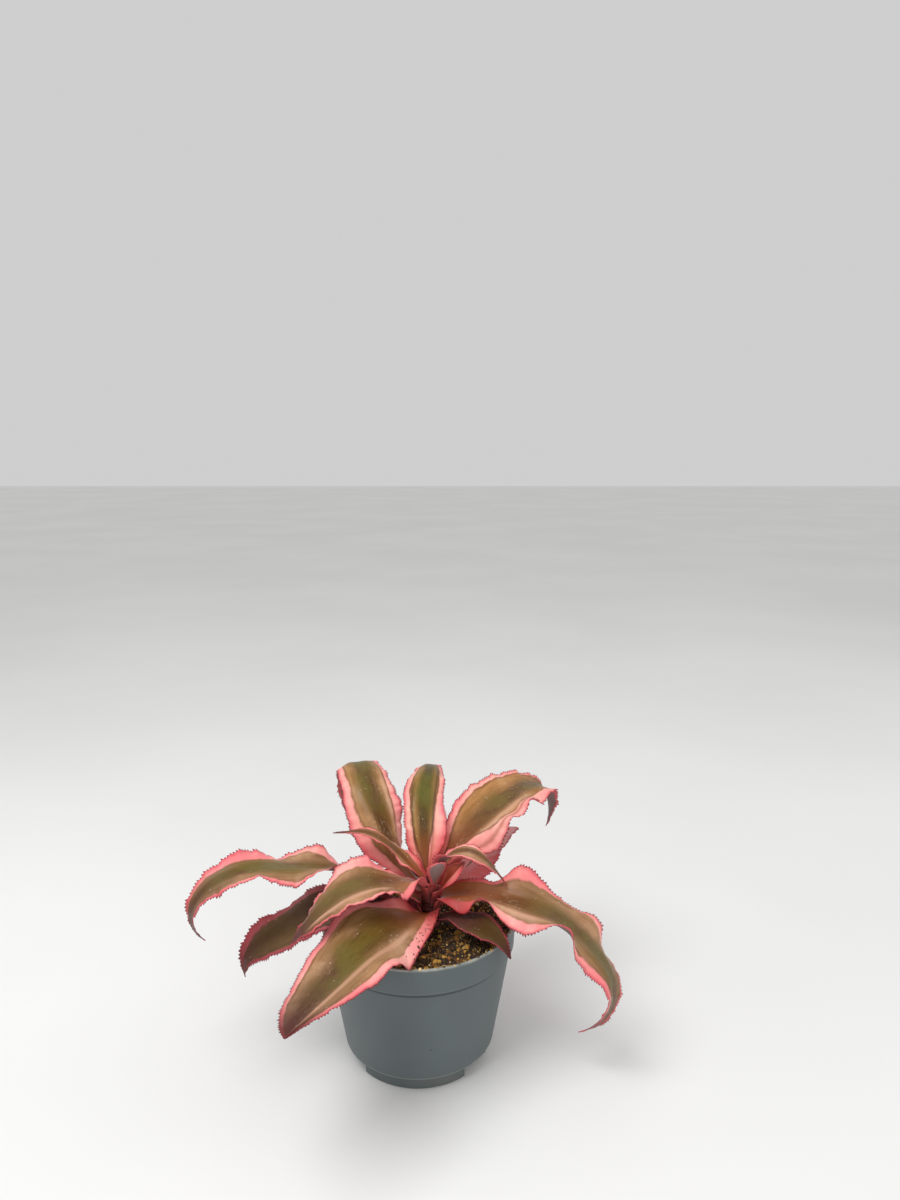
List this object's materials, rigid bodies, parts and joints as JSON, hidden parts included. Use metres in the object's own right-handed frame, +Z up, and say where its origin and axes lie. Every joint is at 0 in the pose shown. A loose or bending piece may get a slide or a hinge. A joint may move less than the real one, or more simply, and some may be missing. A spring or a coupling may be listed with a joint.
{
  "type": "potted earth star bromeliad",
  "caption": "Potted rosette plant with long wavy, toothed, striped leaves on a short stem, in a small round plastic nursery pot filled with soil.",
  "frame": {"origin": "centre of the pot's flat underside", "axes": "+Z up; +X to the right and +Y away from the viewer in the picture"},
  "size_m": [0.1934, 0.1729, 0.1198],
  "materials": {
    "pot_plastic": "matt moulded blue-grey polypropylene",
    "soil": "loose dark peat with fibres and lighter crumbs",
    "stem": "short fleshy stem, crimson brown",
    "leaf": "satin leaf, olive and tan stripes with salmon pink toothed margins"
  },
  "bodies": {
    "root": {"pot": "pot_plastic", "soil": "soil", "stem": "stem", "leaf_low_right": "leaf", "leaf_low_left": "leaf", "leaf_front_left": "leaf", "leaf_under_right": "leaf", "leaf_back_left": "leaf", "leaf_far_left": "leaf", "leaf_back_right": "leaf", "leaf_right": "leaf", "leaf_back": "leaf", "leaf_left": "leaf", "leaf_inner_left": "leaf", "leaf_inner_right": "leaf", "leaf_heart_right": "leaf", "leaf_heart_front": "leaf"}
  },
  "joints": []
}
